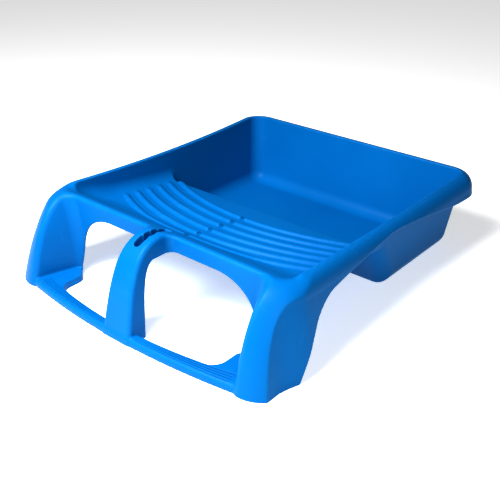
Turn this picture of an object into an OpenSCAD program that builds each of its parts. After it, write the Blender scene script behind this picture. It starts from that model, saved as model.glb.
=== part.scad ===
// Paint roller tray moulded in one piece of polypropylene: a deep well at the back, a ribbed ramp,
// and a front lip carried on two splayed legs, a foot bar and a centre handle.
// Each node is one named section of the moulding. The sections meet face to face.
// The origin is on the ground under the middle of the tray. +Y points to the well, +Z points up.

/* [Tray] */
// Overall length, from the foot of the handle to the back skirt
overall_l = 388; // [382:1:394]
// Width across the crest of the rim
rim_w = 291; // [288:1:295]
// Height of the rim crest at the back
rim_back_h = 83; // [81:1:85]
// Height of the rim crest at the front lip
rim_front_h = 87; // [85:1:89]
// Length of the basin, from the front lip crest to the back rim crest
basin_l = 310.5; // [308:0.5:313]
// Radius of the rim corners in plan
corner_r = 25; // [23:1:28]
// Wall thickness of the moulding
wall = 3; // [2:0.5:3]
// Radius of the rounded rim crest
bead_r = 2.5; // [2:0.5:3]

/* [Well] */
// Width of the well floor, outside
well_floor_w = 268; // [264:1:272]
// Distance from the back rim crest to the front edge of the well
well_reach = 164.5; // [160:0.5:168]
// Horizontal run of the sloping front wall of the well
well_front_run = 29; // [24:1:34]
// Radius between the well floor and its walls
well_cove = 6; // [3:1:7]

/* [Ramp] */
// Height of the back edge of the ramp
ramp_low_h = 50; // [46:1:54]
// Rise of the ramp for each millimetre towards the front
ramp_rise = 0.12; // [0.1:0.01:0.14]
// Width of the flat of the ramp
ramp_w = 248; // [240:1:252]
// Distance from the front lip crest to the flat of the ramp
lip_run = 31; // [26:1:34]

/* [Ridges] */
// Number of ridges in each half of the ramp
ridge_count = 6; // [4:1:6]
// Distance between ridges, along the ramp
ridge_pitch = 16; // [15:0.5:16]
// Width of one ridge
ridge_w = 8; // [5:0.5:9]
// Height of one ridge
ridge_h = 2.2; // [1:0.1:3]
// Distance that the ends of a ridge sweep back from its middle
ridge_bend = 34; // [25:1:40]
// Break between the two halves at the middle of the ramp
ridge_break = 6; // [4:1:12]

/* [Skirt] */
// Depth of the skirt that hangs from the rim at the back
skirt_h = 21.5; // [20:0.5:24]
// Depth of the skirt at the middle of each side
skirt_mid_h = 8.5; // [7:0.5:12]
// Distance that the rolled top of the skirt reaches out from the crest
roll_w = 10; // [7:0.5:11]
// Height of the rolled top of the skirt
roll_h = 13.5; // [11:0.5:16]

/* [Legs and foot] */
// Width across the legs at the ground
foot_w = 340; // [330:1:350]
// Height of the foot bar
foot_h = 8; // [6:1:10]
// Width of the foot bar, front to back
foot_bar_w = 12.5; // [11:0.5:15]
// Distance that the middle of the foot bar bows forward
foot_bow = 8; // [4:1:10]
// Width of the ledge beside each leg
ledge_w = 18; // [14:1:20]
// Radius of the inner corner between the foot bar and a ledge
ledge_corner_r = 14; // [8:1:16]
// Distance from the middle of the tray to the inner face of a leg
leg_inner_x = 125; // [121:1:128]
// Corner radius of a leg at the ground
leg_corner_r = 35; // [28:1:36]

/* [Handle] */
// Width of the handle at the ground
handle_foot_w = 37; // [32:1:40]
// Width of the handle at the top
handle_top_w = 25; // [22:1:30]
// Height of the two windows beside the handle
window_h = 70; // [66:1:72]
// Length of the tool slot on top of the handle
slot_l = 43; // [36:1:46]
// Width of the tool slot
slot_w = 8; // [6:1:10]
// Depth of the tool slot
slot_depth = 9; // [7:1:10]

/* [Hidden] */
$fn = 64;

plastic = [0.03, 0.42, 0.87];
far = 400;
curve_steps = 14;

// The rim. Its crest lies in one plane that rises a little towards the front.
front_y = -overall_l / 2;
rim_seat = 5;
bank_inset = 2;
flare = (foot_w / 2 - rim_w / 2 - bead_r - roll_w) / (rim_front_h - bead_r - roll_h);
// How far out the rolled edge has come, "drop" below its start: a quarter of an ellipse, then a flare
function roll(drop, w = roll_w, h = roll_h) =
  w * sqrt(1 - pow(1 - min(drop, h) / h, 2)) + flare * max(0, drop - h);
rim_tilt = atan((rim_front_h - rim_back_h) / basin_l);
crest_back_y = overall_l / 2 - bead_r - roll(skirt_h - bead_r) + skirt_h * sin(rim_tilt);
crest_front_y = crest_back_y - basin_l;
corner_x = rim_w / 2 - corner_r;
corner_back_y = crest_back_y - corner_r;
corner_front_y = crest_front_y + corner_r;
function rim_z(y) = rim_back_h + (crest_back_y - y) * tan(rim_tilt);

// The draft of the basin walls: r is measured outwards from the centre of a rim corner.
draft = (corner_r - bead_r + wall + corner_x - well_floor_w / 2) / rim_back_h;
draft_angle = atan(draft);
function r_in(z) = corner_r - bead_r - draft * (rim_back_h - z);

// The ramp. Its flat ends at the front in two corners as round as the rim's.
ramp_y = crest_back_y - well_reach;
ramp_front_y = crest_front_y + lip_run;
ramp_angle = atan(ramp_rise);
lip_rear_y = ramp_front_y + corner_r + 4;
function ramp_z(y) = ramp_low_h + ramp_rise * (ramp_y - y);

// The well
well_slope = well_front_run / ramp_low_h;
well_slope_angle = atan(well_slope);
well_cove_r = cove_edge(wall, well_cove);
floor_front_y = ramp_y + well_slope * (ramp_low_h - wall)
  + well_cove * (1 / cos(well_slope_angle) - well_slope);

// Where the cove between a level floor and a drafted wall touches the floor.
function cove_edge(floor_z, cove) =
  r_in(floor_z) + (cove * sin(draft_angle) - cove) / cos(draft_angle);

// The front
apron_y = crest_front_y - bead_r;
leg_top_h = rim_front_h - bead_r;
foot_front_y = front_y + 1;
function foot_edge(x) = foot_front_y + foot_bow * pow(x / leg_inner_x, 2);
function outer_x(z) = rim_w / 2 + bead_r + roll(leg_top_h - z);
function handle_half(z) = (handle_foot_w + (handle_top_w - handle_foot_w) * z / rim_front_h) / 2;

slot_back_y = crest_front_y + 8.5;

// The long curves, each a Bezier curve of [y, z] points
leg_front = [[front_y + 9, 0], [front_y + 17, 40], [front_y + 34, leg_top_h], [apron_y, leg_top_h]];
handle_front = [[front_y, 0], [front_y + 9.5, 45], [front_y + 16.5, 98], [apron_y, rim_front_h - 0.5]];
handle_back = [[front_y + 21, 0], [front_y + 26, 45], [front_y + 28.5, window_h], [front_y + 43.5, window_h]];
arch_back_y = corner_back_y;
arch_top = [corner_back_y - 140, rim_back_h - skirt_mid_h];
arch_knee = [front_y + 104, 62.5];
leg_rear_y = front_y + 55.5;
arch_rise = [[arch_back_y, rim_back_h - skirt_h], [arch_back_y - 40, rim_back_h - skirt_h],
             arch_top + [50, 0.5], arch_top];
arch_fall = [arch_top, arch_top - [35, 2.5], arch_knee + [40, 6.5], arch_knee];
leg_rear = [arch_knee, arch_knee - [12, 2], [leg_rear_y + 27, 45], [leg_rear_y, -0.01]];

// Points along a cubic Bezier curve, and along an arc
function bezier(p, t) =
  pow(1 - t, 3) * p[0] + 3 * pow(1 - t, 2) * t * p[1] + 3 * (1 - t) * t * t * p[2] + pow(t, 3) * p[3];
function curve(p, steps = curve_steps) = [for (i = [0 : steps]) bezier(p, i / steps)];
function arc(centre, r, from, to, steps = curve_steps) =
  [for (i = [0 : steps]) let (a = from + (to - from) * i / steps) centre + r * [cos(a), sin(a)]];

// The section of a wall of the well, with a cove at its foot. It is a polygon of [r, z].
module well_section() {
  top = rim_front_h + 10;
  polygon(concat(
    [[well_cove_r, 0], [r_in(0) + wall, 0], [r_in(top) + wall, top], [r_in(top), top]],
    arc([well_cove_r, wall + well_cove], well_cove, -draft_angle, -90)
  ));
}

// The section of the rim: a round crest, and a skirt of the given depth when it has one
module rim_section(skirt) {
  reach = corner_r + bead_r;
  seat_r = r_in(rim_back_h - rim_seat);
  crest = arc([corner_r, -bead_r], bead_r, 180, 0);
  inner_w = roll_w - wall;
  inner_h = roll_h - wall;
  steps = 8;
  outer_roll = [for (i = [1 : steps])
    let (drop = roll_h * (1 - cos(90 * i / steps))) [reach + roll(drop), -bead_r - drop]];
  inner_roll = [for (i = [steps : -1 : 0])
    let (drop = inner_h * (1 - cos(90 * i / steps)))
      [reach + roll(drop, inner_w, inner_h), -bead_r - wall - drop]];
  skirt_r = reach + roll(skirt - bead_r);
  edge = skirt > 0
    ? concat(outer_roll, [[skirt_r, -skirt], [skirt_r - wall, -skirt]], inner_roll,
        [[seat_r + wall, -rim_seat]])
    : [[reach, -rim_seat]];
  polygon(concat([[seat_r, -rim_seat]], crest, edge));
}

// Carries a shape from the level of the back crest to the plane of the rim
module at_rim() {
  translate([0, crest_back_y, rim_back_h])
    rotate([-rim_tilt, 0, 0])
      translate([0, -crest_back_y, 0])
        children();
}

// Everything under the seat of the rim
module under_rim() {
  at_rim()
    translate([-far / 2, -far, -far - rim_seat])
      cube([far, 2 * far, far]);
}

// A straight run of a section along the right side, from one y to another
module side_run(from_y, to_y) {
  translate([corner_x, to_y, 0])
    rotate([90, 0, 0])
      linear_extrude(height = to_y - from_y)
        children();
}

// A straight run of a section across the back
module back_run() {
  translate([-corner_x, corner_back_y, 0])
    rotate([90, 0, 90])
      linear_extrude(height = 2 * corner_x)
        children();
}

// A quarter turn of a section round a rim corner. The right back corner starts at 0 degrees.
module corner_run(y, start) {
  side = start == 0 || start == -90 ? 1 : -1;
  translate([side * corner_x, y, 0])
    rotate([0, 0, start])
      rotate_extrude(angle = 90)
        children();
}

module mirrored() {
  mirror([1, 0, 0])
    children();
}

module well_floor() {
  half_w = corner_x + well_cove_r;
  color(plastic)
    linear_extrude(height = wall)
      union() {
        translate([-half_w, floor_front_y])
          square([2 * half_w, corner_back_y - floor_front_y]);
        translate([-corner_x, floor_front_y])
          square([2 * corner_x, corner_back_y + well_cove_r - floor_front_y]);
        for (side = [-1, 1])
          translate([side * corner_x, corner_back_y])
            circle(r = well_cove_r);
      }
}

module well_back_wall() {
  color(plastic)
    intersection() {
      union() {
        back_run() well_section();
        corner_run(corner_back_y, 0) well_section();
        corner_run(corner_back_y, 90) well_section();
      }
      under_rim();
    }
}

// Everything in front of the well and below its sloping front wall
module below_well_slope() {
  top_z = ramp_low_h - wall / sin(well_slope_angle);
  margin = 1;
  rotate([90, 0, 90])
    linear_extrude(height = far, center = true)
      polygon([
        [ramp_y - margin, top_z + margin / well_slope],
        [ramp_y + well_slope * (top_z + margin), -margin],
        [ramp_y - margin, -margin],
      ]);
}

module well_right_wall() {
  color(plastic)
    difference() {
      intersection() {
        side_run(ramp_y, corner_back_y) well_section();
        under_rim();
      }
      below_well_slope();
    }
}

module well_left_wall() {
  mirrored() well_right_wall();
}

module well_front_wall() {
  drop = wall / sin(well_slope_angle);
  centre = [floor_front_y, wall + well_cove];
  half_w = corner_x + r_in(ramp_low_h) + wall;
  color(plastic)
    difference() {
      translate([-half_w, 0, 0])
        rotate([90, 0, 90])
          linear_extrude(height = 2 * half_w)
            polygon(concat(
              [
                [floor_front_y, 0],
                [ramp_y + well_slope * (ramp_low_h - drop), 0],
                [ramp_y, ramp_low_h - drop],
                [ramp_y, ramp_low_h],
              ],
              arc(centre, well_cove, 180 + well_slope_angle, 270)
            ));
      side_run(ramp_y, corner_back_y) well_section();
      mirrored() side_run(ramp_y, corner_back_y) well_section();
      for (side = [-1, 1])
        outside_wall(side);
    }
}

// Everything outside the inner face of a side wall
module outside_wall(side) {
  low = corner_x + r_in(-1);
  high = corner_x + r_in(rim_front_h);
  rotate([90, 0, 0])
    linear_extrude(height = 2 * far, center = true)
      polygon([
        [side * low, -1], [side * high, rim_front_h],
        [side * far / 2, rim_front_h], [side * far / 2, -1],
      ]);
}

// The front half of a level outline with round corners, from its right side round to its left side
function front_outline(half_w, front, r) = concat(
  [[half_w, lip_rear_y]],
  arc([half_w - r, front + r], r, 0, -90),
  arc([r - half_w, front + r], r, -90, -180),
  [[-half_w, lip_rear_y]]
);

// How far a point of a front outline has turned from the side, at 0, to the front, at 1
function turn_share(i, count) = let (side = min(i, count - 1 - i)) min(max(side - 1, 0) / curve_steps, 1);

// The line from the rim crest down to the ramp. Beside the ramp it is a cove, and at the front an S.
function bank_line(turn) = curve([[0, 0], [0.1 + 0.25 * turn, 0.6 - 0.6 * turn], [0.35, 1], [1, 1]], 10);

// Points down the bank, from one point of the crest to one point of the edge of the ramp
function bank(crest, edge, turn) =
  let (top_z = rim_z(crest[1]) - bead_r, low_z = ramp_z(edge[1]))
  [for (share = bank_line(turn))
    let (at = crest + (edge - crest) * share[0])
    [at[0], at[1], top_z + (low_z - top_z) * share[1]]];

function unit(v) = v / norm(v);
function clamp(i, low, high) = max(low, min(high, i));

// The direction that a grid of points faces at one of its points
function facing(grid, i, j) =
  let (
    along = grid[clamp(i + 1, 0, len(grid) - 1)][j] - grid[clamp(i - 1, 0, len(grid) - 1)][j],
    down = grid[i][clamp(j + 1, 0, len(grid[0]) - 1)] - grid[i][clamp(j - 1, 0, len(grid[0]) - 1)],
    normal = unit(cross(down, along)),
    at_end = i == 0 || i == len(grid) - 1
  )
  at_end ? unit([normal[0], 0, normal[2]]) : normal;

// A sheet of the wall's thickness under a grid of points
module sheet(grid) {
  rows = len(grid);
  columns = len(grid[0]);
  over = [for (row = grid) each row];
  under = [for (i = [0 : rows - 1]) for (j = [0 : columns - 1]) grid[i][j] - wall * facing(grid, i, j)];
  lower = rows * columns;
  function at(i, j) = i * columns + j;
  faces = [for (i = [0 : rows - 2]) for (j = [0 : columns - 2])
    let (a = at(i, j), b = at(i + 1, j), c = at(i + 1, j + 1), d = at(i, j + 1))
    each [[a, b, c], [a, c, d], [c + lower, b + lower, a + lower], [d + lower, c + lower, a + lower]]];
  long_edges = [for (i = [0 : rows - 2]) for (j = [0, columns - 1])
    let (a = at(i, j), b = at(i + 1, j), edge = [[a, a + lower, b], [b, a + lower, b + lower]])
    each j == 0 ? edge : [for (f = edge) [f[2], f[1], f[0]]]];
  short_edges = [for (j = [0 : columns - 2]) for (i = [0, rows - 1])
    let (a = at(i, j), b = at(i, j + 1), edge = [[a, b, a + lower], [b, b + lower, a + lower]])
    each i == 0 ? edge : [for (f = edge) [f[2], f[1], f[0]]]];
  polyhedron(concat(over, under), concat(faces, long_edges, short_edges));
}

// Carries a shape from the ground plane to the plane of the ramp, with the well at its edge
module on_ramp() {
  translate([0, ramp_y, ramp_low_h])
    rotate([-ramp_angle, 0, 0])
      children();
}

module ramp_deck() {
  length = basin_l;
  color(plastic)
    intersection() {
      on_ramp()
        translate([-ramp_w / 2, -length, -wall])
          cube([ramp_w, 2 * length, wall]);
      linear_extrude(height = far)
        polygon(concat(
          front_outline(ramp_w / 2, ramp_front_y, corner_r),
          [[-ramp_w / 2, ramp_y], [ramp_w / 2, ramp_y]]
        ));
    }
}

module ramp_right_wall() {
  crest_x = rim_w / 2 - bank_inset;
  color(plastic)
    intersection() {
      sheet([for (y = [ramp_y, lip_rear_y]) bank([crest_x, y], [ramp_w / 2, y], 0)]);
      under_rim();
    }
}

module ramp_left_wall() {
  mirrored() ramp_right_wall();
}

// How far a ridge sweeps back at a distance x from the middle of the ramp
function ridge_sweep(x) = ridge_bend * pow(x / (ramp_w / 2), 2);

// One ridge of the right half. The first one runs into the front lip before it reaches the middle.
module ridge(index) {
  start_x = index == 0 ? ramp_w / 6 : ridge_break / 2;
  end_x = ramp_w / 2 - 1;
  first_front = ramp_front_y - ramp_y - 1.5;
  front = first_front + index * ridge_pitch;
  steps = 2 * curve_steps;
  xs = [for (i = [0 : steps]) start_x + (end_x - start_x) * i / steps];
  linear_extrude(height = ridge_h)
    polygon(concat(
      [for (x = xs) [x, front + ridge_sweep(x)]],
      [for (i = [steps : -1 : 0]) [xs[i], front + ridge_sweep(xs[i]) + ridge_w]]
    ));
}

module ramp_right_ridges() {
  color(plastic)
    on_ramp()
      for (i = [0 : ridge_count - 1])
        ridge(i);
}

module ramp_left_ridges() {
  mirrored() ramp_right_ridges();
}

// The round crest of the rim, along the front and round both front corners
module lip_crest() {
  at_rim() {
    mirror_front() back_run() rim_section(0);
    corner_run(corner_front_y, -90) rim_section(0);
    corner_run(corner_front_y, 180) rim_section(0);
    side_run(corner_front_y, lip_rear_y) rim_section(0);
    mirrored() side_run(corner_front_y, lip_rear_y) rim_section(0);
  }
}

// Turns a run across the back into a run across the front
module mirror_front() {
  translate([0, corner_front_y + corner_back_y, 0])
    mirror([0, 1, 0])
      children();
}

// The bank that falls from the front crest to the ramp
module lip_bank() {
  crest = front_outline(rim_w / 2 - bank_inset, crest_front_y + bank_inset, corner_r - bank_inset);
  edge = front_outline(ramp_w / 2, ramp_front_y, corner_r);
  sheet([for (i = [0 : len(crest) - 1]) bank(crest[i], edge[i], turn_share(i, len(crest)))]);
}

module front_lip() {
  color(plastic)
    difference() {
      union() {
        lip_bank();
        lip_crest();
      }
      tool_slot(0);
    }
}

// The front wall under the lip. Its lower edge is the top of both windows, with a gusset at each leg.
module apron_outline() {
  top_z = rim_front_h - rim_seat;
  gusset = curve([[leg_inner_x - 59, window_h], [leg_inner_x - 35, window_h],
                  [leg_inner_x - 17, window_h - 12], [leg_inner_x - 13, window_h - 34]]);
  polygon(concat(
    [[-leg_inner_x, top_z], [leg_inner_x, top_z], [leg_inner_x, window_h - 34]],
    [for (i = [curve_steps : -1 : 0]) gusset[i]],
    [for (p = gusset) [-p[0], p[1]]],
    [[-leg_inner_x, window_h - 34]]
  ));
}

module front_apron() {
  color(plastic)
    difference() {
      translate([0, apron_y + wall, 0])
        rotate([90, 0, 0])
          linear_extrude(height = wall)
            apron_outline();
      tool_slot(wall / 2);
    }
}

// The underside of the skirts and the outer walls of the legs: one long arch on each side
module under_arch() {
  rotate([90, 0, 90])
    linear_extrude(height = far, center = true)
      polygon(concat(
        [[overall_l, -1], [overall_l, rim_back_h - skirt_h]],
        curve(arch_rise),
        curve(arch_fall),
        curve(leg_rear),
        [[leg_rear_y, -1]]
      ));
}

module back_rim() {
  color(plastic)
    at_rim() {
      back_run() rim_section(skirt_h);
      corner_run(corner_back_y, 0) rim_section(skirt_h);
      corner_run(corner_back_y, 90) rim_section(skirt_h);
    }
}

module right_rim() {
  color(plastic)
    difference() {
      at_rim() side_run(lip_rear_y, corner_back_y) rim_section(skirt_h + 10);
      under_arch();
    }
}

module left_rim() {
  mirrored() right_rim();
}

// A thin level slice of the leg's outer form, at one height
module leg_slice(point, inset) {
  z = point[1];
  share = z / leg_top_h;
  r = leg_corner_r + (corner_r + bead_r - leg_corner_r) * share - inset;
  inner_r = 3;
  front = point[0] + inset;
  right = outer_x(z) - inset;
  left = leg_inner_x + inset;
  translate([0, 0, z])
    linear_extrude(height = 0.01)
      leg_outline(left, right, front, r, inner_r);
}

// A rectangle with a large round at its front right and a small one at its front left
module leg_outline(left, right, front, r, inner_r) {
  polygon(concat(
    [[right, lip_rear_y], [left, lip_rear_y]],
    arc([left + inner_r, front + inner_r], inner_r, 180, 270, 6),
    arc([right - r, front + r], r, 270, 360)
  ));
}

module leg_form(inset) {
  hull()
    for (point = curve(leg_front, 9))
      leg_slice(point - [0, point[1] * inset / leg_top_h], inset);
}

module right_leg() {
  color(plastic)
    difference() {
      leg_form(0);
      leg_form(wall);
      under_arch();
      inside_crest();
      translate([0, apron_y, -1])
        cube([leg_inner_x + leg_corner_r / 2, far, far]);
    }
}

// Everything inside the outer edge of the rim crest
module inside_crest() {
  r = corner_r + bead_r;
  translate([0, 0, -1])
    linear_extrude(height = far)
      union() {
        translate([-corner_x, corner_front_y - r])
          square([2 * corner_x, 2 * r]);
        translate([-corner_x - r, corner_front_y])
          square([2 * (corner_x + r), far]);
        for (side = [-1, 1])
          translate([side * corner_x, corner_front_y])
            circle(r = r);
      }
}

module left_leg() {
  mirrored() right_leg();
}

// The side view of the handle
module handle_side() {
  rotate([90, 0, 90])
    linear_extrude(height = far, center = true)
      polygon(concat(
        curve(handle_front),
        [[apron_y, window_h]],
        [for (i = [curve_steps : -1 : 0]) curve(handle_back)[i]]
      ));
}

// The side view of the hollow of the handle, which is open at the back and below
module handle_hollow() {
  rotate([90, 0, 90])
    linear_extrude(height = far, center = true)
      polygon(concat(
        [[front_y + wall, -1]],
        [for (p = curve(handle_front)) p + wall * [1, -p[1] / rim_front_h]],
        [[apron_y + wall, -1]]
      ));
}

// The front view of the handle, narrower by an inset on each side
module handle_face(inset) {
  low = handle_half(-1) - inset;
  high = handle_half(rim_front_h + 1) - inset;
  rotate([90, 0, 0])
    linear_extrude(height = 2 * far, center = true)
      polygon([[-low, -1], [low, -1], [high, rim_front_h + 1], [-high, rim_front_h + 1]]);
}

module centre_handle() {
  color(plastic)
    difference() {
      intersection() {
        handle_side();
        handle_face(0);
      }
      intersection() {
        handle_hollow();
        handle_face(wall);
      }
      tool_slot(0);
    }
}

// The opening of the tool slot, wider by a margin for the pocket round it
module tool_slot(margin) {
  r = slot_w / 2 + margin;
  translate([0, 0, rim_front_h - slot_depth - margin])
    linear_extrude(height = far)
      union() {
        translate([-r, slot_back_y - slot_l + slot_w / 2])
          square([2 * r, slot_l - slot_w / 2 + margin]);
        translate([0, slot_back_y - slot_l + slot_w / 2])
          circle(r = r);
      }
}

// Where the pocket of the tool slot can hang: inside the handle, under the rim and under the lip
module under_slot_skin() {
  intersection() {
    handle_hollow();
    translate([-slot_w, front_y, 0])
      cube([2 * slot_w, apron_y - front_y, far]);
  }
  translate([-slot_w, apron_y, 0])
    cube([2 * slot_w, 2 * bead_r, rim_front_h - rim_seat]);
  translate([-slot_w, apron_y, 0])
    cube([2 * slot_w, slot_back_y - apron_y, rim_front_h - slot_depth]);
}

module tool_slot_pocket() {
  color(plastic)
    difference() {
      intersection() {
        tool_slot(wall / 2);
        under_slot_skin();
      }
      tool_slot(0);
    }
}

// Small posts that stand along both sides of the slot and grip what is pushed in
module tool_slot_teeth() {
  teeth = 3;
  tooth = 1.2;
  spacing = slot_l / (teeth + 1);
  color(plastic)
    for (side = [-1, 1], i = [1 : teeth])
      translate([side * (slot_w - tooth) / 2, slot_back_y - i * spacing, rim_front_h - slot_depth])
        translate([-tooth / 2, -tooth / 2, 0])
          cube([tooth, tooth, slot_depth - wall]);
}

// The plan of one half of the foot bar, with the ledge beside the leg
module foot_plan(inset) {
  steps = curve_steps;
  start = handle_half(rim_front_h);
  edge = leg_inner_x - ledge_w;
  r = ledge_corner_r;
  ledge_y = leg_rear_y - 4;
  xs = [for (i = [0 : steps]) start + (leg_inner_x - start) * i / steps];
  window_xs = [for (i = [steps : -1 : 0]) start + (edge - r - start) * i / steps];
  corner_y = foot_edge(edge - r) + foot_bar_w + r;
  polygon(concat(
    [for (x = xs) [x, foot_edge(x) + inset]],
    [[leg_inner_x, ledge_y], [edge + inset, ledge_y]],
    arc([edge - r, corner_y], r + inset, 0, -90),
    [for (x = window_xs) [x, foot_edge(x) + foot_bar_w - inset]]
  ));
}

module right_foot_bar() {
  color(plastic)
    difference() {
      linear_extrude(height = foot_h)
        foot_plan(0);
      translate([0, 0, -1])
        linear_extrude(height = foot_h - wall + 1)
          foot_plan(wall);
      handle_face(0);
    }
}

module left_foot_bar() {
  mirrored() right_foot_bar();
}

// Fine ribs along the top of the foot bar, one behind the other
module right_grip_ribs() {
  ribs = 4;
  rib_w = 1.2;
  rib_h = 0.8;
  rib_pitch = 2.1;
  first_rib = 4;
  start = handle_half(foot_h) + 3;
  end = leg_inner_x - 4;
  xs = [for (i = [0 : curve_steps]) start + (end - start) * i / curve_steps];
  color(plastic)
    translate([0, 0, foot_h])
      for (rib = [0 : ribs - 1])
        let (y = first_rib + rib * rib_pitch)
          linear_extrude(height = rib_h)
            polygon(concat(
              [for (x = xs) [x, foot_edge(x) + y]],
              [for (i = [curve_steps : -1 : 0]) [xs[i], foot_edge(xs[i]) + y + rib_w]]
            ));
}

module left_grip_ribs() {
  mirrored() right_grip_ribs();
}

well_floor();
well_back_wall();
well_left_wall();
well_right_wall();
well_front_wall();
ramp_deck();
ramp_left_wall();
ramp_right_wall();
ramp_left_ridges();
ramp_right_ridges();
front_lip();
front_apron();
back_rim();
left_rim();
right_rim();
left_leg();
right_leg();
centre_handle();
tool_slot_pocket();
tool_slot_teeth();
left_foot_bar();
right_foot_bar();
left_grip_ribs();
right_grip_ribs();
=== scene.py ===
import math

import bpy
import numpy as np
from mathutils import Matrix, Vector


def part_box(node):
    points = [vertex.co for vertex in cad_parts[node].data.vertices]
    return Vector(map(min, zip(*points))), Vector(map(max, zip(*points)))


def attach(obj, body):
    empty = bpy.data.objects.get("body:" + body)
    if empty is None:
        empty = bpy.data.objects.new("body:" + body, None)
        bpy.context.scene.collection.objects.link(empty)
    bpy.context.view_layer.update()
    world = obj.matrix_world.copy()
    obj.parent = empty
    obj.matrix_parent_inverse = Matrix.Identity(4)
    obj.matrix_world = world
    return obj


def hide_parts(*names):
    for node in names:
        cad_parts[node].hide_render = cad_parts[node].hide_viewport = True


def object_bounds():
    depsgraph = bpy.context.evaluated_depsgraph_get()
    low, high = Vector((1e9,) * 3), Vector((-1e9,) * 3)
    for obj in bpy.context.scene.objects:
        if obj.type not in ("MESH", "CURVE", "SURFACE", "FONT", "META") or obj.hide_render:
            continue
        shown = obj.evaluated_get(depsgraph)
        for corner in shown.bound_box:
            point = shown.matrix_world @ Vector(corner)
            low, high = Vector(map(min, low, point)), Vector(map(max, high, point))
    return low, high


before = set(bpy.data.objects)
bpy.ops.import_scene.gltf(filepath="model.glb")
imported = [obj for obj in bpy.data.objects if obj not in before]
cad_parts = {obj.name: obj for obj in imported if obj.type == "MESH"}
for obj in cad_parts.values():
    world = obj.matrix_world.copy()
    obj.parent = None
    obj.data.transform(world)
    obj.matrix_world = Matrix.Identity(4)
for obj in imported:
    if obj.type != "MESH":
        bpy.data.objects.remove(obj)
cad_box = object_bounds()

import openvdb
from mathutils import Vector

MM = 0.001


def node_box(name):
    low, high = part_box(name)
    return [v / MM for v in low], [v / MM for v in high]


# Places taken from the CAD model
body_low, body_high = [v / MM for v in cad_box[0]], [v / MM for v in cad_box[1]]
apron_low = node_box("front_apron")[0]
lip_high = node_box("front_lip")[1]
deck_low, deck_high = node_box("ramp_deck")
leg_low = node_box("right_leg")[0]
skirt_low, skirt_high = node_box("back_rim")
slot_low, slot_high = node_box("tool_slot_pocket")
bar_high = node_box("right_foot_bar")[1]

# The rim. Its crest bows in and dips along the middle of each side.
front_y, back_y = body_low[1], body_high[1]
foot_half_w = body_high[0]
rim_front_h = lip_high[2]
rim_back_h = skirt_high[2]
crest_behind_apron, crest_before_skirt = 2.5, 13
crest_front_y = apron_low[1] + crest_behind_apron
crest_back_y = skirt_high[1] - crest_before_skirt
rim_rise = (rim_front_h - rim_back_h) / (crest_back_y - crest_front_y)
rim_half_w = 145.5
rim_bow, rim_dip = 2.8, 3.3
waist_y, waist_reach = 26, 140
roll_w, roll_h = 12.5, 16
flare = (foot_half_w - rim_half_w - roll_w) / (rim_front_h - roll_h)
crest_corner_r = 18
crest_w = 1.5
inner_corner_r = 14
wall = 3

# The basin
floor_z = 3
floor_half_w, floor_back_y = 134.2, 166.2
ramp_y, ramp_z = deck_high[1], 50
ramp_rise = (deck_high[2] - ramp_z) / (ramp_y - deck_low[1])
well_slope = 0.58
bank_top_y = crest_front_y + 6
bank_slope = 1.0
basin_turn_r = 12
well_cove_r, ramp_cove_r = 12, 16

# The ridges
ridge_count, ridge_pitch, ridge_w, ridge_h = 6, 16, 8, 2.6
ridge_reach = 124
ridge_bend = 34
ridge_break = 2.6
first_ridge_y = deck_low[1] + 2.5

# The legs, the handle and the foot
leg_inner_x = leg_low[0]
leg_inner_front_x = 131.5
leg_inner_splay = 0.3
foot_h = bar_high[2]
foot_bow, foot_rear_bow = 9, 14
foot_front_gap, foot_rear_gap = 0.3, 10.5
foot_bead_r = 4.2
ledge_x = leg_inner_x - 17
ledge_end_y = bar_high[1] - 3
ledge_end_slope = 0.8
ledge_corner_r = 12
window_top_z = 70
grip_edge_r, handle_edge_r = 5, 4.0
handle_foot_half_w, handle_taper = 18.5, 6
handle_blend_r, leg_blend_r, foot_blend_r = 8, 10, 2

LEG_FRONT = [(front_y + 9, 0), (front_y + 17, 40), (front_y + 31, 87.6), (crest_front_y, rim_front_h)]
HANDLE_FRONT = [(front_y, 0), (front_y + 9.5, 45), (front_y + 16.5, 98), (crest_front_y, rim_front_h)]
HANDLE_BACK = [(front_y + 21, 0), (front_y + 26, 45), (front_y + 28.5, window_top_z + 2),
               (front_y + 43.5, window_top_z)]
ARCH_TOP = (skirt_low[1] - 140, 74.5)
arch_back_z = 61.5
ARCH_RISE = [(skirt_low[1], arch_back_z), (skirt_low[1] - 40, arch_back_z), (ARCH_TOP[0] + 50, 75), ARCH_TOP]
ARCH_FALL = [ARCH_TOP, (ARCH_TOP[0] - 35, 72), (front_y + 130, 66), (front_y + 90, 61)]
leg_rear_foot_y, leg_rear_lean, knee_r = front_y + 55.5, 0.6, 16
window_foot_x = 117.5
GUSSET = [(66, window_top_z), (90, window_top_z), (108, 58), (112, 36)]

# Where along x the handle's edge and the legs' side view take over
handle_zone_x, leg_zone_x = 22, 65

# The radii of finished edges
crest_edge_r, slot_edge_r, cut_edge_r = 0.5, 0.6, 1.2

# The tool slot
slot_r, slot_depth = 4, 8
slot_front_y = slot_low[1] + slot_r + 1.5
tooth_w, tooth_r = 1.4, 0.8
tooth_places = [slot_high[1] - (slot_high[1] - slot_front_y) * share for share in (0.25, 0.5, 0.75)]

# The grip ribs on the foot bar
rib_count, rib_first, rib_last, rib_w, rib_h = 4, 3.8, 1.6, 1.5, 1.1

# Where one named piece ends and the next begins
rim_seat, well_wall_x = 5, 127

# The grid of the field covers half of the tray, from its middle plane to the right
cell = 0.75
low_z = -6
grid_x = np.arange(0, foot_half_w + 4, cell, dtype=np.float32)
grid_y = np.arange(front_y - 3, back_y + 3, cell, dtype=np.float32)
grid_z = np.arange(low_z, rim_front_h + 3, cell, dtype=np.float32)
X = grid_x[:, None, None]
Y = grid_y[None, :, None]
Z = grid_z[None, None, :]


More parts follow.
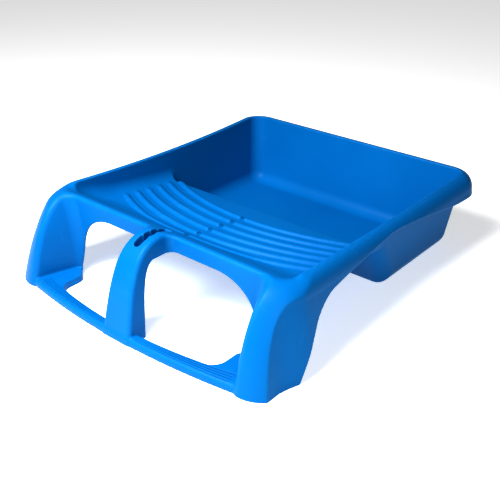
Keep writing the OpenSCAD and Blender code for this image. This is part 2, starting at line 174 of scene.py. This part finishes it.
def bezier(points, steps=40):
    """Points along a cubic Bezier curve."""
    t = np.linspace(0, 1, steps)[:, None]
    p = np.array(points, float)
    return (1 - t) ** 3 * p[0] + 3 * (1 - t) ** 2 * t * p[1] + 3 * (1 - t) * t * t * p[2] + t ** 3 * p[3]


def outline_distance(u, v, outline):
    """Distance from each point (u, v) to a closed outline, negative inside it."""
    points = np.array(outline, float)
    best = np.full(np.broadcast(u, v).shape, 1e9)
    inside = np.zeros(best.shape, bool)
    for a, b in zip(points, np.roll(points, -1, axis=0)):
        run = b - a
        length = max(run @ run, 1e-12)
        t = np.clip(((u - a[0]) * run[0] + (v - a[1]) * run[1]) / length, 0, 1)
        best = np.minimum(best, np.hypot(u - a[0] - t * run[0], v - a[1] - t * run[1]))
        if a[1] != b[1]:
            crosses = (a[1] > v) != (b[1] > v)
            inside ^= crosses & (u < a[0] + (v - a[1]) * run[0] / run[1])
    return np.where(inside, -best, best).astype(np.float32)


def both(a, b, r=0.0):
    """The space inside both forms, with its edge rounded to radius r."""
    return np.minimum(np.maximum(a, b), -r) + np.hypot(np.maximum(a + r, 0), np.maximum(b + r, 0))


def either(a, b, r=0.0):
    """The space inside either form, with its inner corner filled to radius r."""
    return -both(-a, -b, r)


def smooth_step(value, start, end):
    t = np.clip((value - start) / (end - start), 0, 1)
    return t * t * (3 - 2 * t)


def waist(y):
    """1 at the middle of the sides, falling to 0 towards the corners."""
    return np.maximum(0, 1 - ((y - waist_y) / waist_reach) ** 2)


def rim_height(y):
    return rim_back_h + rim_rise * (crest_back_y - y) - rim_dip * waist(y)


def crest_x(y):
    return rim_half_w - rim_bow * waist(y)


def roll_out(drop):
    """How far the outer face stands out from the crest at a depth below it."""
    turn = 1 - np.clip(drop / roll_h, 0, 1)
    return roll_w * np.sqrt(1 - turn ** 2) + flare * np.maximum(drop - roll_h, 0)


def ramp_height(y):
    return ramp_z + ramp_rise * (ramp_y - y)


def foot_edge(x):
    return front_y + foot_front_gap + foot_bow * (x / leg_inner_x) ** 2


def foot_rear(x):
    return front_y + foot_rear_gap + foot_rear_bow * (x / leg_inner_x) ** 2


def handle_half(z):
    return handle_foot_half_w - handle_taper * z / rim_front_h


# The side views, as outlines of (y, z) closed far outside the tray
SIDE_Y, SIDE_Z = grid_y[:, None], grid_z[None, :]
far_y, far_z = back_y + 60, low_z - 30


def side_view(front):
    """Distance from the side of the tray whose front follows a curve, with the rim as its top."""
    outline = [(front[0][0], far_z), *front, (far_y, rim_back_h), (far_y, far_z)]
    return outline_distance(SIDE_Y, SIDE_Z, outline)[None]


leg_side = side_view(bezier(LEG_FRONT))
handle_side = side_view(bezier(HANDLE_FRONT))
window_rear_y = crest_front_y + 22
behind_handle = outline_distance(
    SIDE_Y, SIDE_Z,
    [*bezier(HANDLE_BACK), (window_rear_y, window_top_z), (window_rear_y, far_z), (front_y + 18, far_z)],
)[None]
under_arch = outline_distance(
    SIDE_Y, SIDE_Z,
    [(far_y, arch_back_z), *bezier(ARCH_RISE), *bezier(ARCH_FALL)[1:], (front_y - 60, 40),
     (front_y - 60, far_z), (far_y, far_z)],
)[None]
below_basin = outline_distance(
    SIDE_Y, SIDE_Z,
    [(far_y, floor_z), (ramp_y + well_slope * (ramp_z - floor_z), floor_z), (ramp_y, ramp_z),
     (front_y - 60, ramp_height(front_y - 60)), (front_y - 60, far_z), (far_y, far_z)],
)[None]


def basin():
    """The open space of the well and the ramp."""
    share = Z / rim_height(Y)
    side = X - floor_half_w - (crest_x(Y) - crest_w - floor_half_w) * share
    back = Y - floor_back_y - (crest_back_y - crest_w - floor_back_y) * share
    bank = (bank_top_y + (rim_height(Y) - Z) / bank_slope - Y) / math.hypot(1, 1 / bank_slope)
    walls = both(both(side, back, inner_corner_r), bank, basin_turn_r)
    share_of_ramp = smooth_step(Y, crest_front_y + 66, crest_front_y + 36)
    floor_r = well_cove_r + (ramp_cove_r - well_cove_r) * share_of_ramp
    return both(walls, -below_basin + ridge_height(grid_x[:, None], grid_y[None, :])[:, :, None], floor_r)


def ridge_height(x, y):
    """How far the ridges stand up from the ramp at (x, y)."""
    sweep = ridge_bend * (x / ridge_reach) ** 2
    height = np.zeros(np.broadcast(x, y).shape, np.float32)
    for index in range(ridge_count):
        middle = first_ridge_y + index * ridge_pitch + sweep
        across = np.clip(np.abs(y - middle) / (ridge_w / 2), 0, 1)
        height += ridge_h * np.sqrt(1 - across ** 2) * (1 - across ** 6)
    ends = smooth_step(x, 134, 120) * smooth_step(x, ridge_break - 1.2, ridge_break + 1.2)
    return height * ends * smooth_step(y, ramp_y, ramp_y - 2)


def leg_inner_face():
    """Distance into the leg from its inner face, which splays towards the front."""
    front = bezier(LEG_FRONT)
    leg_y = np.interp(grid_z, front[:, 1], front[:, 0])[None, None, :]
    behind = np.clip(Y - leg_y, -10, 60)
    return (leg_inner_front_x - leg_inner_splay * behind - X) / math.hypot(1, leg_inner_splay)


def rim_top():
    return np.where(Y > crest_front_y + 4, Z - rim_height(Y), -10.0)


def outer_form():
    """Everything under the outer surface, down past the ground."""
    plan = either(apron_low[1] - Y, leg_inner_face(), leg_blend_r)
    plan = either(plan, X - handle_half(Z), handle_blend_r)
    side_view_here = np.where(X < leg_zone_x, handle_side, leg_side)
    edge_r = np.where(X < handle_zone_x, handle_edge_r, grip_edge_r)
    form = both(side_view_here, plan, edge_r)
    reach = crest_corner_r + roll_out(rim_height(Y) - Z)
    past_x = X - crest_x(Y) + crest_corner_r
    past_y = Y - crest_back_y + crest_corner_r
    turned = np.hypot(np.maximum(past_x, 0), np.maximum(past_y, 0))
    sides = turned + np.minimum(np.maximum(past_x, past_y), 0) - reach
    form = both(form, rim_top(), crest_edge_r)
    edge_r = 1 + 33 * smooth_step(Y, crest_front_y + 30, crest_front_y - 34)
    form = both(form, sides, edge_r)
    return either(form, foot_form(), foot_blend_r)


def foot_form():
    """The foot bar with its ledge beside the leg."""
    beside_leg = X - leg_inner_front_x - 4
    bar = both(Y - foot_rear(X), beside_leg)
    ledge = both(both(ledge_x - X, behind_ledge(), 3), beside_leg)
    rest = both(either(bar, ledge, ledge_corner_r), Z - foot_h, 1)
    return both(rest, foot_edge(X) - Y, foot_bead_r)


def behind_ledge():
    """Distance behind the slanted end of the ledge."""
    return (Y - ledge_end_y - ledge_end_slope * (X - ledge_x)) / math.hypot(1, ledge_end_slope)


def slot_form():
    """The tool slot on top of the handle, with three teeth on each side."""
    teeth = sum(tooth_w * np.exp(-((Y - at) / tooth_r) ** 2) for at in tooth_places)
    straight = both(both(X - slot_r + teeth, slot_front_y - Y), Y - slot_high[1])
    plan = np.minimum(straight, np.hypot(X, Y - slot_front_y) - slot_r)
    return both(plan, -handle_side - slot_depth)


def mirrored(field):
    """The whole tray's field from its right half."""
    return np.ascontiguousarray(np.concatenate([field[:0:-1], field], axis=0))


def surface(field):
    """The surface where a whole field is zero: its points in millimetres and its four-sided faces."""
    grid = openvdb.FloatGrid(cell * 4)
    grid.copyFromArray(field)
    points, quads = grid.convertToQuads(isovalue=0.0)
    origin = np.array([-grid_x[-1], grid_y[0], grid_z[0]])
    return points * cell + origin, quads


def true_distance(field):
    """The field again, with its true distances near the surface."""
    points, quads = surface(mirrored(field))
    origin = np.array([-grid_x[-1], grid_y[0], grid_z[0]])
    cells = ((points - origin) / cell).astype(np.float32)
    level = openvdb.FloatGrid.createLevelSetFromPolygons(
        cells, quads=quads, transform=openvdb.createLinearTransform(voxelSize=1.0), halfWidth=wall / cell + 3)
    out = np.zeros((2 * len(grid_x) - 1, len(grid_y), len(grid_z)), np.float32)
    level.copyToArray(out)
    return out[len(grid_x) - 1:] * cell


def shell_form():
    """The finished moulding."""
    cavity = basin()
    inner_r = 1 + 9 * smooth_step(Y, crest_front_y + 20, crest_front_y + 8)
    form = both(outer_form(), -cavity, inner_r)
    form = both(form, -slot_form(), slot_edge_r)
    skin = true_distance(form)
    skin = both(skin, -(skin + wall))
    gusset = outline_distance(
        grid_x[:, None], grid_z[None, :],
        [(-far_y, window_top_z), *bezier(GUSSET), (window_foot_x, 0), (window_foot_x, far_z),
         (-far_y, far_z)])
    window = both(gusset[:, None, :], behind_handle)
    ledge_space = both(both(Z - foot_h - 1, behind_ledge() - 1), ledge_x - 16 - X)
    window = both(window, -ledge_space)
    skin = both(skin, -window, cut_edge_r)
    behind_leg = (leg_rear_foot_y + leg_rear_lean * Z - Y) / math.hypot(1, leg_rear_lean)
    away = both(both(under_arch, behind_leg, knee_r), wall + 1.5 - cavity)
    skin = both(skin, -away, cut_edge_r)
    return both(skin, -Z)


def section_names(centres):
    """The CAD node that each face belongs to, by the place of its middle."""
    x, y, z = np.abs(centres[:, 0]), centres[:, 1], centres[:, 2]
    top = rim_height(y)
    in_front = y < crest_front_y - 1
    beyond_side = x > crest_x(y) + 1
    beyond_back = y > crest_back_y + 1
    on_rim = (z > top - rim_seat) | beyond_side | beyond_back
    in_slot = (x < slot_r + 0.5) & (y > slot_low[1]) & (y < slot_high[1] + 0.5) & (z > 76) & (z < 86)
    near_tooth = np.min([np.abs(y - at) for at in tooth_places], axis=0) < 1.5
    at_back, at_front = y > skirt_low[1], y < lip_high[1]
    well_foot_y = ramp_y + well_slope * (ramp_z - floor_z)
    rules = [
        (in_slot & near_tooth, "tool_slot_teeth"),
        (in_slot, "tool_slot_pocket"),
        (in_front & (x < handle_half(z) + 1), "centre_handle"),
        (in_front & (x > leg_inner_x) | at_front & beyond_side, "leg"),
        (in_front & (z < foot_h + 1) & (y < crest_front_y - 8), "foot_bar"),
        (in_front | (y < crest_front_y + 3) & (z < top - 6), "front_apron"),
        (at_front & ((y < crest_front_y + 30) | on_rim), "front_lip"),
        (at_back & on_rim, "back_rim"),
        (on_rim, "rim"),
        (at_back & ((z > 7) | (y > floor_back_y - 6)), "well_back_wall"),
        ((y > ramp_y) & (x > well_wall_x), "well_wall"),
        (y > well_foot_y + 3, "well_floor"),
        (y > ramp_y, "well_front_wall"),
        (x > ridge_reach, "ramp_wall"),
        (ridge_height(x, y) > 0.3, "ramp_ridges"),
    ]
    return np.select([rule for rule, _ in rules], [name for _, name in rules], "ramp_deck")


PAIRED = {"leg": "{}_leg", "foot_bar": "{}_foot_bar", "rim": "{}_rim", "well_wall": "well_{}_wall",
          "ramp_wall": "ramp_{}_wall", "ramp_ridges": "ramp_{}_ridges"}


def edge_share(field, points):
    """How sharp the outer edges are at each point: 1 on an edge of about 1 mm radius."""
    lap = -6 * field
    for axis in range(3):
        lap += np.roll(field, 1, axis) + np.roll(field, -1, axis)
    cells = np.rint((points - [-grid_x[-1], grid_y[0], grid_z[0]]) / cell).astype(int)
    cells = np.clip(cells, 0, np.array(field.shape) - 1)
    bend = lap[cells[:, 0], cells[:, 1], cells[:, 2]] / cell ** 2
    return np.clip(bend * 1.2 - 0.2, 0, 1).astype(np.float32)


def make_piece(name, points, faces, normals, wear, node):
    """One named piece from the given faces, in the material of the tray."""
    used, faces = np.unique(faces, return_inverse=True)
    mesh = bpy.data.meshes.new(name)
    mesh.from_pydata(points[used] * MM, [], faces.reshape(-1, 4))
    mesh.shade_smooth()
    if normals is not None:
        mesh.normals_split_custom_set_from_vertices(normals[used])
    layer = mesh.attributes.new("edge", "FLOAT", "POINT")
    layer.data.foreach_set("value", wear[used])
    mesh.materials.append(plastic)
    piece = bpy.data.objects.new(name, mesh)
    bpy.context.scene.collection.objects.link(piece)
    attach(piece, "root")
    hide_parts(node)


def moulding():
    """The surface of the moulding, shared out to one open patch for each section of the CAD model."""
    field = mirrored(shell_form())
    points, quads = surface(field)
    quads = quads[:, ::-1]
    whole = bpy.data.meshes.new("whole")
    whole.from_pydata(points, [], quads)
    normals = np.empty(len(points) * 3, np.float32)
    whole.vertex_normals.foreach_get("vector", normals)
    bpy.data.meshes.remove(whole)
    normals = normals.reshape(-1, 3)
    wear = edge_share(field, points)
    centres = points[quads].mean(axis=1)
    names = section_names(centres)
    for name in np.unique(names):
        chosen = names == name
        if name not in PAIRED:
            make_piece(f"moulded_{name}", points, quads[chosen], normals, wear, str(name))
            continue
        for side, half in (("left", centres[:, 0] < 0), ("right", centres[:, 0] >= 0)):
            node = PAIRED[name].format(side)
            make_piece(f"moulded_{node}", points, quads[chosen & half], normals, wear, node)


def grip_ribs(side, node):
    """The fine ribs along one half of the foot bar: low rounded ridges that follow its front edge."""
    along = np.linspace(handle_half(foot_h) + 3.5, leg_inner_front_x - 5, 60)
    turn = np.linspace(0, math.pi, 7)
    points, faces = [], []
    for rib in range(rib_count):
        first = len(points)
        for step, x in enumerate(along):
            end = min(1, min(step, len(along) - 1 - step) / 2)
            room = foot_rear(x) - foot_edge(x) - rib_first - rib_last
            middle = foot_edge(x) + rib_first + room * rib / (rib_count - 1)
            for angle in turn:
                points.append((side * x, middle - rib_w / 2 * end * math.cos(angle),
                               foot_h - 0.1 + (rib_h + 0.1) * end * math.sin(angle)))
        width = len(turn)
        for step in range(len(along) - 1):
            for k in range(width):
                a, b = first + step * width + k, first + step * width + (k + 1) % width
                faces.append((a, b, b + width, a + width)[::side])
    points = np.array(points)
    make_piece(f"moulded_{node}", points, np.array(faces), None, np.zeros(len(points), np.float32), node)


def moulded_plastic():
    """Moulded polypropylene: fine grain, faint flow patches, scuffs, and paler worn edges."""
    material = bpy.data.materials.new("blue_polypropylene")
    material.use_nodes = True
    nodes, links = material.node_tree.nodes, material.node_tree.links
    shader = nodes["Principled BSDF"]
    shader.inputs["Specular IOR Level"].default_value = 0.06
    place = nodes.new("ShaderNodeTexCoord").outputs["Object"]

    def noise(scale, detail, stretch=(1, 1, 1)):
        mapping = nodes.new("ShaderNodeMapping")
        mapping.inputs["Scale"].default_value = stretch
        links.new(place, mapping.inputs["Vector"])
        texture = nodes.new("ShaderNodeTexNoise")
        texture.inputs["Scale"].default_value = scale
        texture.inputs["Detail"].default_value = detail
        links.new(mapping.outputs["Vector"], texture.inputs["Vector"])
        return texture.outputs["Fac"]

    def ranged(value, low, high, to_low, to_high):
        node = nodes.new("ShaderNodeMapRange")
        for socket, number in zip(("From Min", "From Max", "To Min", "To Max"), (low, high, to_low, to_high)):
            node.inputs[socket].default_value = number
        links.new(value, node.inputs["Value"])
        return node.outputs["Result"]

    def math_node(operation, a, b):
        node = nodes.new("ShaderNodeMath")
        node.operation = operation
        for socket, value in zip(node.inputs, (a, b)):
            if isinstance(value, float):
                socket.default_value = value
            else:
                links.new(value, socket)
        return node.outputs["Value"]

    def blend(share, colour_a, colour_b):
        node = nodes.new("ShaderNodeMix")
        node.data_type = "RGBA"
        links.new(share, node.inputs["Factor"])
        for socket, colour in ((node.inputs[6], colour_a), (node.inputs[7], colour_b)):
            if isinstance(colour, tuple):
                socket.default_value = colour
            else:
                links.new(colour, socket)
        return node.outputs[2]

    grain = noise(1500, 2)
    flow = ranged(noise(9, 3, (1, 0.4, 1)), 0.35, 0.65, 0, 1)
    scuffs = ranged(noise(60, 6, (0.25, 2.5, 1)), 0.62, 0.72, 0, 1)
    edge = nodes.new("ShaderNodeAttribute")
    edge.attribute_name = "edge"
    worn = math_node("MULTIPLY", edge.outputs["Fac"], ranged(noise(180, 4), 0.35, 0.7, 0.1, 0.7))

    colour = blend(flow, (0.0, 0.118, 0.325, 1), (0.0, 0.132, 0.355, 1))
    colour = blend(math_node("MULTIPLY", scuffs, 0.12), colour, (0.02, 0.2, 0.45, 1))
    colour = blend(math_node("MULTIPLY", worn, 0.5), colour, (0.03, 0.24, 0.52, 1))
    links.new(colour, shader.inputs["Base Color"])

    roughness = math_node("ADD", ranged(flow, 0, 1, 0.36, 0.42), math_node("MULTIPLY", scuffs, 0.1))
    roughness = math_node("ADD", roughness, math_node("MULTIPLY", worn, 0.12))
    links.new(roughness, shader.inputs["Roughness"])

    height = math_node("ADD", grain, math_node("MULTIPLY", scuffs, -0.35))
    bump = nodes.new("ShaderNodeBump")
    bump.inputs["Strength"].default_value = 0.35
    bump.inputs["Distance"].default_value = 0.00008
    links.new(height, bump.inputs["Height"])
    links.new(bump.outputs["Normal"], shader.inputs["Normal"])
    return material


plastic = moulded_plastic()
moulding()
grip_ribs(-1, "left_grip_ribs")
grip_ribs(1, "right_grip_ribs")

# The floor
bpy.ops.mesh.primitive_plane_add(size=8)
floor = bpy.context.object
paper = bpy.data.materials.new("paper")
paper.use_nodes = True
paper_shader = paper.node_tree.nodes["Principled BSDF"]
paper_shader.inputs["Base Color"].default_value = (0.9, 0.9, 0.9, 1)
paper_shader.inputs["Emission Color"].default_value = (1, 1, 1, 1)
paper_shader.inputs["Emission Strength"].default_value = 0.5
floor.data.materials.append(paper)

# The studio: what the colours look like, the room, the lights and the camera
bpy.context.scene.view_settings.view_transform = "Standard"
bpy.context.scene.view_settings.gamma = 0.76
bpy.context.scene.view_settings.exposure = 0.25
world = bpy.data.worlds.new("studio")
bpy.context.scene.world = world
world.use_nodes = True
world.node_tree.nodes["Background"].inputs["Color"].default_value = (1, 1, 1, 1)
world.node_tree.nodes["Background"].inputs["Strength"].default_value = 0.08


def area_light(name, place, aim, size, power):
    data = bpy.data.lights.new(name, "AREA")
    data.size = size
    data.energy = power
    light = bpy.data.objects.new(name, data)
    light.location = place
    light.rotation_euler = (Vector(aim) - Vector(place)).to_track_quat("-Z", "Y").to_euler()
    bpy.context.scene.collection.objects.link(light)


area_light("key", (-0.12, -0.62, 0.75), (0, -0.12, 0.05), 0.4, 12)
area_light("side", (0.52, -0.42, 0.34), (0.1, -0.12, 0.05), 0.3, 1.2)
area_light("over", (0.0, -0.38, 0.62), (0, -0.1, 0.05), 0.3, 4.5)

camera_data = bpy.data.cameras.new("camera")
camera = bpy.data.objects.new("camera", camera_data)
camera.location = (0.4654, -0.5586, 0.4033)
azimuth, elevation = math.radians(40.1), math.radians(28.3)
back = Vector((math.sin(azimuth) * math.cos(elevation), -math.cos(azimuth) * math.cos(elevation),
               math.sin(elevation)))
camera.rotation_euler = (-back).to_track_quat("-Z", "Y").to_euler()
camera_data.lens = 56.25
camera_data.sensor_width = 36
bpy.context.scene.collection.objects.link(camera)
bpy.context.scene.camera = camera
